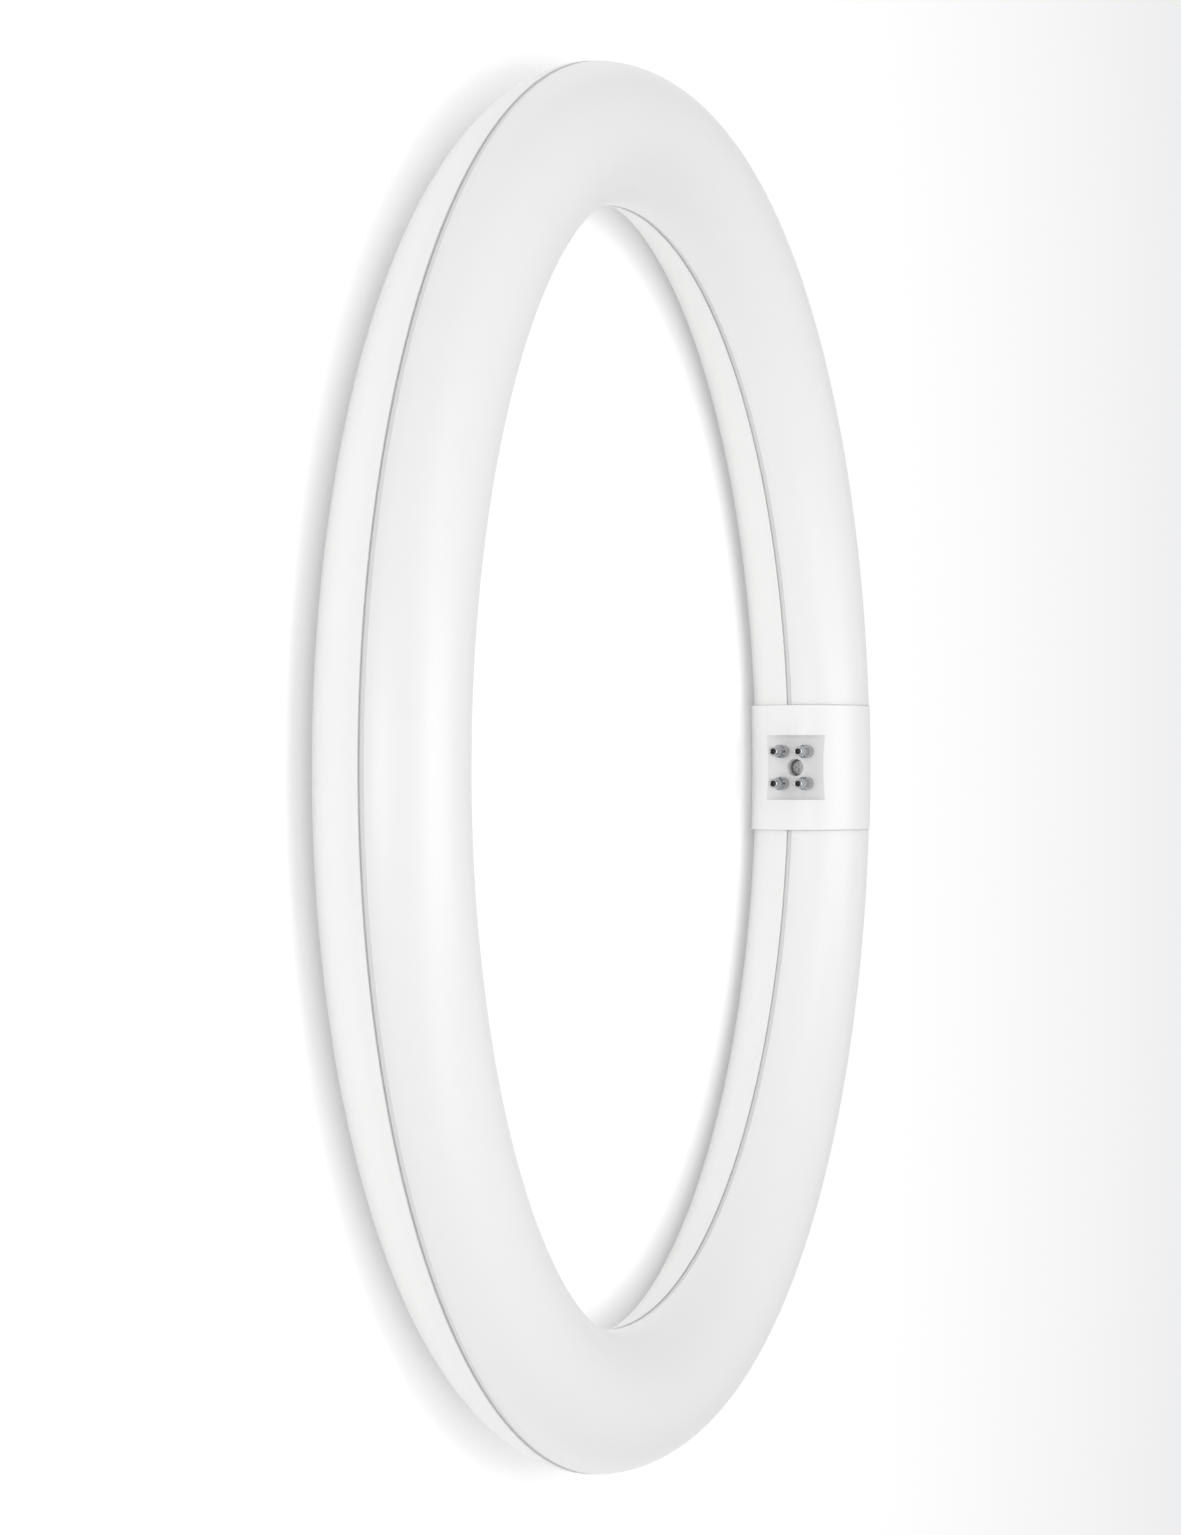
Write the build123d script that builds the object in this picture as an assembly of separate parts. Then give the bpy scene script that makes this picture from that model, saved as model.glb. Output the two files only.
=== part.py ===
from build123d import *
import math
import os

# Sizes are in millimetres. The ring lies flat and its cap is at +X. Heights named with SEAT, SEAM or DEPTH
# are counted from the ring's middle plane, and z = 0 is the surface that the lamp lies on.

# Ring and tube
RING_RADIUS = 135.0        # tube centreline
TUBE_HALF_WIDTH = 15.0
FRONT_DEPTH = 14.75        # middle plane to the top of the diffuser
REAR_DEPTH = 13.95         # middle plane to the back of the housing
OVAL_TIGHTNESS = 0.8       # radius of the section's tight arcs, as a share of its short half axis
DIFFUSER_WALL = 1.5
HOUSING_WALL = 1.5

# Seam between the two half shells, where a slit and a shallow land show
SEAM_OUT = 0.15            # edge of the housing on the ring's outer side
SEAM_IN = -1.55            # edge of the housing on the ring's inner side
SLIT = 0.4
LAND_HEIGHT = 0.9
LAND_DEPTH = 0.3
LIP_WALL = 0.5             # what is left of the diffuser over the tongue
TONGUE_WALL = 0.6
TONGUE_HEIGHT = 1.8
TONGUE_ROOT = 0.6          # foot of the tongue inside the housing's edge
TONGUE_GAP = 0.05

# Cap
CAP_LENGTH = 31.0
CAP_PROUD_IN = 1.1         # how far the cap stands out from the tube on each side
CAP_PROUD_OUT = 0.2
CAP_PROUD_FRONT = 0.3
CAP_PROUD_REAR = 0.65
CAP_WALL = 1.8
CAP_END_WALL = 1.5
CAP_END_GAP = 0.05         # tube end to cap end
CAP_EDGE_ROUND = 0.3
COVER_DEPTH = 8.2          # outermost point of the cap to the parting plane
COVER_GAP = 0.08
COVER_LIP_WALL = 0.8
COVER_LIP_DEPTH = 1.5
SPIGOT_LENGTH = 6.0        # part of the cap that reaches into each tube end
SPIGOT_WALL = 1.2
SPIGOT_GAP = 0.1

# Recess for the lampholder, with its pins and its screw
RECESS_LENGTH = 16.0
RECESS_DEPTH = 2.1
RECESS_FLOOR = 1.8
PIN_SPACING_Y = 7.92
PIN_SPACING_Z = 6.35
PIN_RADIUS = 1.175
PIN_REACH = 8.4            # recess floor to pin tip
PIN_TIP_BEVEL = 0.2
PIN_HOLE_RADIUS = 0.72
PIN_HOLE_DEPTH = 2.0
COLLAR_RADIUS = 1.65
COLLAR_LENGTH = 3.2
COLLAR_CONE = 0.9
SHANK_RADIUS = 1.3
RIVET_RADIUS = 1.7
RIVET_HEIGHT = 0.6
TAIL_RADIUS = 0.8
TAIL_LENGTH = 3.0
FIT_GAP = 0.04             # radial room round pins and screw

SCREW_RADIUS = 1.1
SCREW_LENGTH = 14.0
SCREW_HEAD_RADIUS = 2.0
SCREW_HEAD_HEIGHT = 1.6
SCREW_HEAD_ROUND = 0.5
SCREW_SUNK = 3.6           # recess floor to the top of the head
CROSS_WIDTH = 0.6
CROSS_SPAN = 2.2
CROSS_DEPTH = 0.9
WELL_BORE_GAP = 0.15
WELL_WALL = 1.0
WELL_BOTTOM = 1.4
POST_WALL = 1.7
POST_GAP = 0.1
PILOT_SPARE = 2.0

# LED boards and chips
BOARD_SEAT = -2.0
BOARD_THICKNESS = 1.0
BOARD_EDGE_GAP = 0.4
BOARD_COUNT = 4
BOARD_JOINT_GAP = 0.4
LEDGE_REACH = 1.5
LEDGE_THICKNESS = 1.2
LEDGE_END_GAP = 1.0        # spigot end to ledge end
CHIPS_PER_BOARD = 20
CHIP_WIDTH = 2.8
CHIP_LENGTH = 3.5
CHIP_HEIGHT = 0.7
LINK_WIDTH = 4.0
LINK_LENGTH = 6.0
LINK_HEIGHT = 1.6
LINK_EDGE_GAP = 5.9        # board edge to the link

# Driver board
DRIVER_THICKNESS = 1.0
DRIVER_EDGE_GAP = 0.3
DRIVER_HEADROOM = 0.8      # tallest part to the LED board above it
DRIVER_LEDGE_REACH = 1.1
DRIVER_LEDGE_THICKNESS = 1.0
DRIVER_INSET = 6.0         # ledge end to the board's near end
DRIVER_END_MARGIN = 3.0

# Parts on the driver board, which stand in one row or in two lanes
PARTS_INSET = 9.5          # near end of the board to the first part
PART_GAP = 1.4             # part to part along the board
LANE_SPLIT = 0.6           # line between the lanes, outwards from the tube centreline
LANE_GAP = 0.8
LYING_GAP = 0.1            # round parts lie this far off the board
FUSE_RADIUS = 1.4
FUSE_LENGTH = 8.0
VARISTOR_RADIUS = 3.0
VARISTOR_HEIGHT = 3.0
BRIDGE_WIDTH = 4.0
BRIDGE_LENGTH = 4.7
BRIDGE_HEIGHT = 2.4
FILM_WIDTH = 10.0
FILM_LENGTH = 4.6
FILM_HEIGHT = 5.8
FILM_ROUND = 0.8
CHOKE_RADIUS = 3.5
CHOKE_HEIGHT = 6.0
CHOKE_FLANGE = 0.8
BULK_RADIUS = 3.15
BULK_LENGTH = 13.0
OUTPUT_RADIUS = 2.5
OUTPUT_LENGTH = 9.0
CAN_GROOVE = 0.5           # depth and width
CAN_GROOVE_INSET = 1.5     # can end to the groove's middle
DRIVER_CHIP_WIDTH = 3.9
DRIVER_CHIP_LENGTH = 4.9
DRIVER_CHIP_HEIGHT = 1.5
LEGS_PER_SIDE = 4
LEG_WIDTH = 0.42
LEG_THICKNESS = 0.21
LEG_REACH = 1.0
DIODE_WIDTH = 2.6
DIODE_LENGTH = 4.3
DIODE_HEIGHT = 2.1
INDUCTOR_SIDE = 8.4
INDUCTOR_HEIGHT = 6.0
INDUCTOR_CORNER = 1.4
INDUCTOR_DIMPLE_RADIUS = 2.1
INDUCTOR_DIMPLE_DEPTH = 0.3
RESISTOR_WIDTH = 3.2
RESISTOR_LENGTH = 1.6
RESISTOR_HEIGHT = 0.6
RESISTOR_COUNT = 3
RESISTOR_GAP = 0.8
EDGE_BEVEL = 0.25          # upper edges of moulded packages

# Wires
LEAD_RADIUS = 0.65
LEAD_STUB = 3.0            # straight part behind a pin
LEAD_BEND = 2.5
LEAD_DROP = 4.7            # straight part above the driver board
LEAD_SPREAD = 3.3          # pad to pad
LEAD_BUNDLE = 2.5          # wire to wire where they enter the tube
LEAD_PAD_INSET = 4.0
LEAD_POST_GAP = 1.2
LEAD_CROSSING_Y = 1.5      # where a far pin's wire has passed the screw post
LEAD_BOARD_GAP = 1.0
PAD_ORDER = (2, 1, 3, 0)   # which pad each pin's wire goes to, so that no two wires cross
LED_LEAD_RADIUS = 0.6
LED_LEAD_SPREAD = 3.0      # each wire's distance from the row of chips
LED_LEAD_GAP = 0.15
LED_LEAD_PROUD = 0.4
LED_LEAD_MARGIN = 2.5      # last driver part to the wires

# Places worked out from the sizes above
cap_centre_radius = RING_RADIUS + (CAP_PROUD_OUT - CAP_PROUD_IN) / 2
cap_half_width = TUBE_HALF_WIDTH + (CAP_PROUD_OUT + CAP_PROUD_IN) / 2
cap_front_depth = FRONT_DEPTH + CAP_PROUD_FRONT
cap_rear_depth = REAR_DEPTH + CAP_PROUD_REAR
cap_offset = cap_centre_radius - RING_RADIUS
mid_z = cap_rear_depth
cap_inner_x = cap_centre_radius - cap_half_width
cap_outer_x = cap_centre_radius + cap_half_width
split_x = cap_outer_x - COVER_DEPTH
floor_x = cap_inner_x + RECESS_DEPTH
floor_back_x = floor_x + RECESS_FLOOR
pin_tail_x = floor_back_x + RIVET_HEIGHT + TAIL_LENGTH
screw_top_x = floor_x + SCREW_SUNK
screw_seat_x = screw_top_x + SCREW_HEAD_HEIGHT
well_end_x = screw_seat_x + WELL_BOTTOM
post_start_x = well_end_x + POST_GAP
spigot_end_y = CAP_LENGTH / 2 + SPIGOT_LENGTH
tongue_outer = TUBE_HALF_WIDTH - LAND_DEPTH - LIP_WALL - TONGUE_GAP
reach = 2 * TUBE_HALF_WIDTH
far = 2 * RING_RADIUS
past = 1.0                 # how far a cut runs past the face that it opens
close = 0.01               # faces and edges nearer than this are taken as level


def angle_past(distance):
    """Angle from +X at which even the ring's inner side lies past this distance along Y."""
    return math.degrees(math.asin(distance / (RING_RADIUS - TUBE_HALF_WIDTH)))


def arc_angle(length):
    """Angle that a length along the tube's centreline covers."""
    return math.degrees(length / RING_RADIUS)


ledge_start = angle_past(spigot_end_y + LEDGE_END_GAP)
board_start = ledge_start + arc_angle(LEDGE_END_GAP)
board_span = (360 - 2 * board_start) / BOARD_COUNT
board_top = BOARD_SEAT + BOARD_THICKNESS
chip_pitch = board_span / CHIPS_PER_BOARD
chip_lane = DRIVER_CHIP_LENGTH + PART_GAP + DIODE_LENGTH
bridge_near = PARTS_INSET + max(FUSE_LENGTH, 2 * VARISTOR_RADIUS) + PART_GAP
film_near = bridge_near + BRIDGE_LENGTH + PART_GAP
choke_near = film_near + FILM_LENGTH + PART_GAP
bulk_near = choke_near + 2 * CHOKE_RADIUS + PART_GAP
inductor_near = bulk_near + max(BULK_LENGTH, chip_lane) + PART_GAP
output_near = inductor_near + INDUCTOR_SIDE + PART_GAP
resistor_row = RESISTOR_COUNT * (RESISTOR_LENGTH + RESISTOR_GAP)
parts_end = output_near + max(OUTPUT_LENGTH, resistor_row)
tallest = max(2 * max(BULK_RADIUS, OUTPUT_RADIUS, FUSE_RADIUS) + LYING_GAP,
              VARISTOR_HEIGHT, FILM_HEIGHT, CHOKE_HEIGHT, INDUCTOR_HEIGHT)
driver_top = BOARD_SEAT - DRIVER_HEADROOM - tallest
driver_seat = driver_top - DRIVER_THICKNESS
driver_start = ledge_start + arc_angle(DRIVER_INSET)
led_lead_angle = driver_start + arc_angle(parts_end + LED_LEAD_MARGIN)
driver_end = led_lead_angle + arc_angle(DRIVER_END_MARGIN)


def block(x_range, y_range, z_range):
    """Box between the given limits in x, y and z."""
    sizes = [high - low for low, high in (x_range, y_range, z_range)]
    middle = [(high + low) / 2 for low, high in (x_range, y_range, z_range)]
    return Pos(*middle) * Box(*sizes)


def patch(u_range, v_range):
    """Rectangle in the tube's section: u is out from the centreline, v is up from the middle plane."""
    middle = Pos((u_range[0] + u_range[1]) / 2, (v_range[0] + v_range[1]) / 2)
    return middle * Rectangle(u_range[1] - u_range[0], v_range[1] - v_range[0])


def half_oval(half_width, depth):
    """Edges of the upper half of an oval: a tight arc at each side and a flatter one across the top."""
    short, long = sorted((half_width, depth))
    tight = OVAL_TIGHTNESS * short
    end = long - tight
    slack = short - tight
    back = (end**2 - slack**2) / (2 * slack)
    if abs(back) < close:
        return [CenterArc((0, 0), half_width, 0, 180)]
    turn = math.degrees(math.atan2(back, end))
    if half_width > depth:
        sides = [CenterArc((end, 0), tight, 0, turn), CenterArc((-end, 0), tight, 180 - turn, turn)]
        return sides + [CenterArc((0, -back), short + back, turn, 180 - 2 * turn)]
    turn = 90 - turn
    flat = short + back
    sides = [CenterArc((-back, 0), flat, 0, turn), CenterArc((back, 0), flat, 180 - turn, turn)]
    return sides + [CenterArc((0, end), tight, turn, 180 - 2 * turn)]


def oval(half_width, front, rear, offset=0.0):
    """Section of the tube or cap: two half ovals that meet on the middle plane."""
    upper = half_oval(half_width, front)
    lower = [Rot(180, 0, 0) * edge for edge in half_oval(half_width, rear)]
    return Pos(offset, 0) * make_face(upper + lower)


def tube_oval(inset):
    """Section of the tube, drawn in by the inset on all sides."""
    return oval(TUBE_HALF_WIDTH - inset, FRONT_DEPTH - inset, REAR_DEPTH - inset)


def housing_half_width(height):
    """Half the clear width inside the rear housing at a height from the middle plane."""
    line = tube_oval(HOUSING_WALL) & patch((-reach, reach), (height - close, height + close))
    return line.bounding_box().max.X - close


def cap_oval(inset):
    """Section of the cap, drawn in by the inset on all sides."""
    return oval(cap_half_width - inset, cap_front_depth - inset, cap_rear_depth - inset, cap_offset)


def turned(section, start, end):
    """Section carried round the ring's axis from one angle to another."""
    profile = Plane.XZ * (Pos(RING_RADIUS, mid_z) * section)
    return Rot(0, 0, start) * revolve(profile, Axis.Z, end - start)


def rod_x(x_start, x_end, radius, y=0.0, z=0.0):
    """Round bar along X, with z counted from the middle plane."""
    middle = Pos((x_start + x_end) / 2, y, mid_z + z)
    return middle * Rot(0, 90, 0) * Cylinder(radius, x_end - x_start)


def on_ring(shape, angle, offset, height):
    """Shape with its Y along the tube, set at an angle, an offset from the centreline and a height."""
    return Rot(0, 0, angle) * Pos(RING_RADIUS + offset, 0, mid_z + height) * shape


def open_ring(section):
    """Section turned round the ring but for the cap's place, with both ends cut square to the cap."""
    half_gap = CAP_LENGTH / 2 + CAP_END_GAP
    start = math.degrees(math.asin(half_gap / (RING_RADIUS + TUBE_HALF_WIDTH))) / 2
    return turned(section, start, 360 - start) - block((0, far), (-half_gap, half_gap), (-far, far))


def front_diffuser():
    """Opal half shell whose edges step in for the seam and thin out over the housing's tongue."""
    edge_out = SEAM_OUT + SLIT
    edge_in = SEAM_IN + SLIT
    kept = patch((-reach, 0), (edge_in, reach)) + patch((0, reach), (edge_out, reach))
    shell = (tube_oval(0) - tube_oval(DIFFUSER_WALL)) & kept
    land = TUBE_HALF_WIDTH - LAND_DEPTH
    shell -= patch((land, reach), (edge_out - past, edge_out + LAND_HEIGHT))
    shell -= patch((-reach, -land), (edge_in - past, edge_in + LAND_HEIGHT))
    rebate = tongue_outer + TONGUE_GAP
    top = TONGUE_HEIGHT + 2 * TONGUE_GAP
    shell -= patch((0, rebate), (edge_out - past, SEAM_OUT + top))
    shell -= patch((-rebate, 0), (edge_in - past, SEAM_IN + top))
    return open_ring(shell)


def ledge_pair(top, inward, thickness):
    """Two ledges in section, one on each inner side of the housing."""
    wall = housing_half_width(top)
    root = wall + HOUSING_WALL / 2
    right = patch((wall - inward, root), (top - thickness, top))
    left = patch((-root, inward - wall), (top - thickness, top))
    return right, left


def rear_housing():
    """White half shell with its tongues, the ledges of the LED boards and those of the driver board."""
    kept = patch((-reach, 0), (-reach, SEAM_IN)) + patch((0, reach), (-reach, SEAM_OUT))
    shell = (tube_oval(0) - tube_oval(HOUSING_WALL)) & kept
    tongue_inner = tongue_outer - TONGUE_WALL
    shell += patch((tongue_inner, tongue_outer), (SEAM_OUT - TONGUE_ROOT, SEAM_OUT + TONGUE_HEIGHT))
    shell += patch((-tongue_outer, -tongue_inner), (SEAM_IN - TONGUE_ROOT, SEAM_IN + TONGUE_HEIGHT))
    housing = open_ring(shell)
    for ledge in ledge_pair(BOARD_SEAT, LEDGE_REACH, LEDGE_THICKNESS):
        housing += turned(ledge, ledge_start, 360 - ledge_start)
    for ledge in ledge_pair(driver_seat, DRIVER_LEDGE_REACH, DRIVER_LEDGE_THICKNESS):
        housing += turned(ledge, driver_start, driver_end)
    return housing


def cap_blank():
    """Whole cap before it is parted: a hollow sleeve with a spigot at each end and the recess wall."""
    half = CAP_LENGTH / 2
    sweep_angle = 2 * angle_past(spigot_end_y)
    start, end = -sweep_angle, sweep_angle
    spigot_inset = max(DIFFUSER_WALL, HOUSING_WALL) + SPIGOT_GAP
    body = turned(cap_oval(0), start, end) & block((0, far), (-half, half), (-far, far))
    rims = body.edges().filter_by(lambda edge: abs(abs(edge.center().Y) - half) < close)
    body = fillet(rims, CAP_EDGE_ROUND)
    outline = body
    spigot = turned(tube_oval(spigot_inset), start, end)
    body += spigot & block((0, far), (-spigot_end_y, spigot_end_y), (-far, far))
    room = half - CAP_END_WALL
    body -= turned(cap_oval(CAP_WALL), start, end) & block((0, far), (-room, room), (-far, far))
    body -= turned(tube_oval(spigot_inset + SPIGOT_WALL), start, end)
    side = RECESS_LENGTH / 2
    body += outline & block((0, floor_back_x), (-side - CAP_WALL, side + CAP_WALL), (-far, far))
    body -= block((0, floor_x), (-side, side), (-far, far))
    return body


def pin_places():
    """Places of the four pins in y and z, z counted from the middle plane."""
    return [
        (side_y * PIN_SPACING_Y / 2, side_z * PIN_SPACING_Z / 2)
        for side_z in (1, -1)
        for side_y in (-1, 1)
    ]


def cap_base(blank):
    """Inner half of the cap, bored for the pins and carrying the well of the screw."""
    base = blank & block((0, split_x), (-far, far), (-far, far))
    well_bore = SCREW_HEAD_RADIUS + WELL_BORE_GAP
    base += rod_x(floor_x, well_end_x, well_bore + WELL_WALL)
    base -= rod_x(floor_x - past, screw_seat_x, well_bore)
    base -= rod_x(screw_seat_x - past, well_end_x + past, SCREW_RADIUS + FIT_GAP)
    for y, z in pin_places():
        base -= rod_x(floor_x - past, floor_back_x + past, SHANK_RADIUS + FIT_GAP, y, z)
    return base


def cap_cover(blank):
    """Outer half of the cap, with a locating lip and the post that takes the screw."""
    cover = blank & block((split_x + COVER_GAP, far), (-far, far), (-far, far))
    sweep_angle = angle_past(CAP_LENGTH / 2)
    inset = CAP_WALL + COVER_GAP
    lip = turned(cap_oval(inset) - cap_oval(inset + COVER_LIP_WALL), -sweep_angle, sweep_angle)
    room = CAP_LENGTH / 2 - CAP_END_WALL - COVER_GAP
    lip &= block((split_x - COVER_LIP_DEPTH, split_x + COVER_LIP_DEPTH), (-room, room), (-far, far))
    root = turned(cap_oval(CAP_WALL / 2) - cap_oval(inset + COVER_LIP_WALL), -sweep_angle, sweep_angle)
    root &= block((split_x + COVER_GAP, split_x + COVER_LIP_DEPTH), (-room, room), (-far, far))
    cover += lip
    cover += root
    post_radius = SCREW_RADIUS + POST_WALL
    cover += rod_x(post_start_x, cap_outer_x - CAP_WALL / 2, post_radius)
    pilot_end_x = screw_seat_x + SCREW_LENGTH + PILOT_SPARE
    cover -= rod_x(post_start_x - past, pilot_end_x, SCREW_RADIUS + FIT_GAP)
    return cover


def contact_pin(y, z):
    """Turned pin: hollow stem, coned collar on the floor, shank through it, rivet head and solder tail."""
    collar_x = floor_x - COLLAR_LENGTH
    cone_x = collar_x - COLLAR_CONE
    tip_x = floor_x - PIN_REACH
    outline = Polyline(
        (tip_x, 0),
        (tip_x, PIN_RADIUS - PIN_TIP_BEVEL),
        (tip_x + PIN_TIP_BEVEL, PIN_RADIUS),
        (cone_x, PIN_RADIUS),
        (collar_x, COLLAR_RADIUS),
        (floor_x, COLLAR_RADIUS),
        (floor_x, SHANK_RADIUS),
        (floor_back_x, SHANK_RADIUS),
        (floor_back_x, RIVET_RADIUS),
        (floor_back_x + RIVET_HEIGHT, RIVET_RADIUS),
        (floor_back_x + RIVET_HEIGHT, TAIL_RADIUS),
        (pin_tail_x, TAIL_RADIUS),
        (pin_tail_x, 0),
        close=True,
    )
    pin = Pos(0, y, mid_z + z) * revolve(make_face(outline), Axis.X)
    return pin - rod_x(tip_x - past, tip_x + PIN_HOLE_DEPTH, PIN_HOLE_RADIUS, y, z)


def cap_screw():
    """Pan head screw with a cross recess, driven from the recess into the cover's post."""
    head = rod_x(screw_top_x, screw_seat_x, SCREW_HEAD_RADIUS)
    top_edge = head.edges().filter_by(lambda edge: edge.center().X < screw_top_x + close)
    head = fillet(top_edge, SCREW_HEAD_ROUND)
    screw = head + rod_x(screw_seat_x, screw_seat_x + SCREW_LENGTH, SCREW_RADIUS)
    slot = (screw_top_x - past, screw_top_x + CROSS_DEPTH)
    for width, span in ((CROSS_WIDTH, CROSS_SPAN), (CROSS_SPAN, CROSS_WIDTH)):
        screw -= block(slot, (-width / 2, width / 2), (mid_z - span / 2, mid_z + span / 2))
    return screw


def board_half_width():
    """Half the width of the LED boards, which lie between the housing's walls."""
    return housing_half_width(BOARD_SEAT) - BOARD_EDGE_GAP


def led_board(index):
    """One curved LED board. The first one has the two holes for the wires from the driver board."""
    half = board_half_width()
    gap = arc_angle(BOARD_JOINT_GAP) / 2
    start = board_start + index * board_span
    board = turned(patch((-half, half), (BOARD_SEAT, board_top)), start + gap, start + board_span - gap)
    if index == 0:
        for offset in (-LED_LEAD_SPREAD, LED_LEAD_SPREAD):
            hole = Cylinder(LED_LEAD_RADIUS + LED_LEAD_GAP, BOARD_THICKNESS + 2 * past)
            board -= on_ring(hole, led_lead_angle, offset, BOARD_SEAT + BOARD_THICKNESS / 2)
    return board


def led_chips(index):
    """The row of LED packages that stand on one board."""
    chips = []
    for number in range(CHIPS_PER_BOARD):
        angle = board_start + index * board_span + (number + 0.5) * chip_pitch
        chip = Box(CHIP_WIDTH, CHIP_LENGTH, CHIP_HEIGHT)
        chips.append(on_ring(chip, angle, 0, board_top + CHIP_HEIGHT / 2))
    return Compound(children=chips)


def board_link(index):
    """Connector that bridges two neighbouring LED boards."""
    link = Box(LINK_WIDTH, LINK_LENGTH, LINK_HEIGHT)
    link = chamfer(link.edges().group_by(Axis.Z)[-1], EDGE_BEVEL)
    angle = board_start + (index + 1) * board_span
    offset = board_half_width() - LINK_EDGE_GAP - LINK_WIDTH / 2
    return on_ring(link, angle, offset, board_top + LINK_HEIGHT / 2)


def driver_board():
    """Curved power supply board on its own ledges near the cap."""
    half = housing_half_width(driver_seat) - DRIVER_EDGE_GAP
    return turned(patch((-half, half), (driver_seat, driver_top)), driver_start, driver_end)


def on_driver(shape, near, length, offset, height, gap=0.0):
    """Shape set on the driver board, its near end at a distance along the board."""
    angle = driver_start + arc_angle(near + length / 2)
    return on_ring(shape, angle, offset, driver_top + height / 2 + gap)


def inner_lane(half_width):
    """Offset of a part in the lane nearer the ring's centre."""
    return LANE_SPLIT - LANE_GAP / 2 - half_width


def outer_lane(half_width):
    """Offset of a part in the lane further from the ring's centre."""
    return LANE_SPLIT + LANE_GAP / 2 + half_width


def package(width, length, height):
    """Moulded package with its upper edges bevelled."""
    body = Box(width, length, height)
    return chamfer(body.edges().group_by(Axis.Z)[-1], EDGE_BEVEL)


def lying_can(radius, length):
    """Capacitor can lying along Y, with a rolled groove near one end."""
    can = Rot(90, 0, 0) * Cylinder(radius, length)
    groove = Cylinder(radius + past, CAN_GROOVE) - Cylinder(radius - CAN_GROOVE, CAN_GROOVE)
    return can - Pos(0, length / 2 - CAN_GROOVE_INSET, 0) * Rot(90, 0, 0) * groove


def input_fuse():
    """Round fuse lying in the inner lane."""
    body = Rot(90, 0, 0) * Cylinder(FUSE_RADIUS, FUSE_LENGTH)
    return on_driver(body, PARTS_INSET, FUSE_LENGTH, inner_lane(FUSE_RADIUS), 2 * FUSE_RADIUS, LYING_GAP)


def surge_varistor():
    """Disc laid flat beside the fuse."""
    disc = Cylinder(VARISTOR_RADIUS, VARISTOR_HEIGHT)
    return on_driver(disc, PARTS_INSET, 2 * VARISTOR_RADIUS, outer_lane(VARISTOR_RADIUS), VARISTOR_HEIGHT)


def bridge_rectifier():
    """Flat rectifier package on the centreline."""
    body = package(BRIDGE_WIDTH, BRIDGE_LENGTH, BRIDGE_HEIGHT)
    return on_driver(body, bridge_near, BRIDGE_LENGTH, 0, BRIDGE_HEIGHT)


def film_capacitor():
    """Potted case set across the board."""
    case = Box(FILM_WIDTH, FILM_LENGTH, FILM_HEIGHT)
    case = fillet(case.edges().filter_by(Axis.Z), FILM_ROUND)
    return on_driver(case, film_near, FILM_LENGTH, 0, FILM_HEIGHT)


def filter_choke():
    """Coil wound on a flanged drum that stands upright."""
    coil = Cylinder(CHOKE_RADIUS - CHOKE_FLANGE, CHOKE_HEIGHT)
    for side in (-1, 1):
        coil += Pos(0, 0, side * (CHOKE_HEIGHT - CHOKE_FLANGE) / 2) * Cylinder(CHOKE_RADIUS, CHOKE_FLANGE)
    return on_driver(coil, choke_near, 2 * CHOKE_RADIUS, 0, CHOKE_HEIGHT)


def bulk_capacitor():
    """Large can lying in the inner lane."""
    can = lying_can(BULK_RADIUS, BULK_LENGTH)
    return on_driver(can, bulk_near, BULK_LENGTH, inner_lane(BULK_RADIUS), 2 * BULK_RADIUS, LYING_GAP)


def driver_chip():
    """Control chip beside the large can, with a row of flat legs down each side."""
    chip = package(DRIVER_CHIP_WIDTH, DRIVER_CHIP_LENGTH, DRIVER_CHIP_HEIGHT)
    leg = Box(LEG_REACH, LEG_WIDTH, LEG_THICKNESS)
    pitch = DRIVER_CHIP_LENGTH / LEGS_PER_SIDE
    for side in (-1, 1):
        for number in range(LEGS_PER_SIDE):
            x = side * (DRIVER_CHIP_WIDTH + LEG_REACH) / 2
            y = (number - (LEGS_PER_SIDE - 1) / 2) * pitch
            chip += Pos(x, y, (LEG_THICKNESS - DRIVER_CHIP_HEIGHT) / 2) * leg
    offset = outer_lane(DRIVER_CHIP_WIDTH / 2 + LEG_REACH)
    return on_driver(chip, bulk_near, DRIVER_CHIP_LENGTH, offset, DRIVER_CHIP_HEIGHT)


def freewheel_diode():
    """Diode package past the control chip."""
    near = bulk_near + DRIVER_CHIP_LENGTH + PART_GAP
    body = package(DIODE_WIDTH, DIODE_LENGTH, DIODE_HEIGHT)
    return on_driver(body, near, DIODE_LENGTH, outer_lane(DIODE_WIDTH / 2), DIODE_HEIGHT)


def power_inductor():
    """Square shielded inductor with cut corners and a dimple in its top."""
    core = Box(INDUCTOR_SIDE, INDUCTOR_SIDE, INDUCTOR_HEIGHT)
    core = chamfer(core.edges().filter_by(Axis.Z), INDUCTOR_CORNER)
    core -= Pos(0, 0, INDUCTOR_HEIGHT / 2) * Cylinder(INDUCTOR_DIMPLE_RADIUS, 2 * INDUCTOR_DIMPLE_DEPTH)
    return on_driver(core, inductor_near, INDUCTOR_SIDE, 0, INDUCTOR_HEIGHT)


def output_capacitor():
    """Small can lying in the inner lane at the far end."""
    can = lying_can(OUTPUT_RADIUS, OUTPUT_LENGTH)
    offset = inner_lane(OUTPUT_RADIUS)
    return on_driver(can, output_near, OUTPUT_LENGTH, offset, 2 * OUTPUT_RADIUS, LYING_GAP)


def sense_resistors():
    """Row of chip resistors beside the small can."""
    body = Box(RESISTOR_WIDTH, RESISTOR_LENGTH, RESISTOR_HEIGHT)
    pitch = RESISTOR_LENGTH + RESISTOR_GAP
    offset = outer_lane(RESISTOR_WIDTH / 2)
    row = [
        on_driver(body, output_near + number * pitch, RESISTOR_LENGTH, offset, RESISTOR_HEIGHT)
        for number in range(RESISTOR_COUNT)
    ]
    return Compound(children=row)


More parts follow.
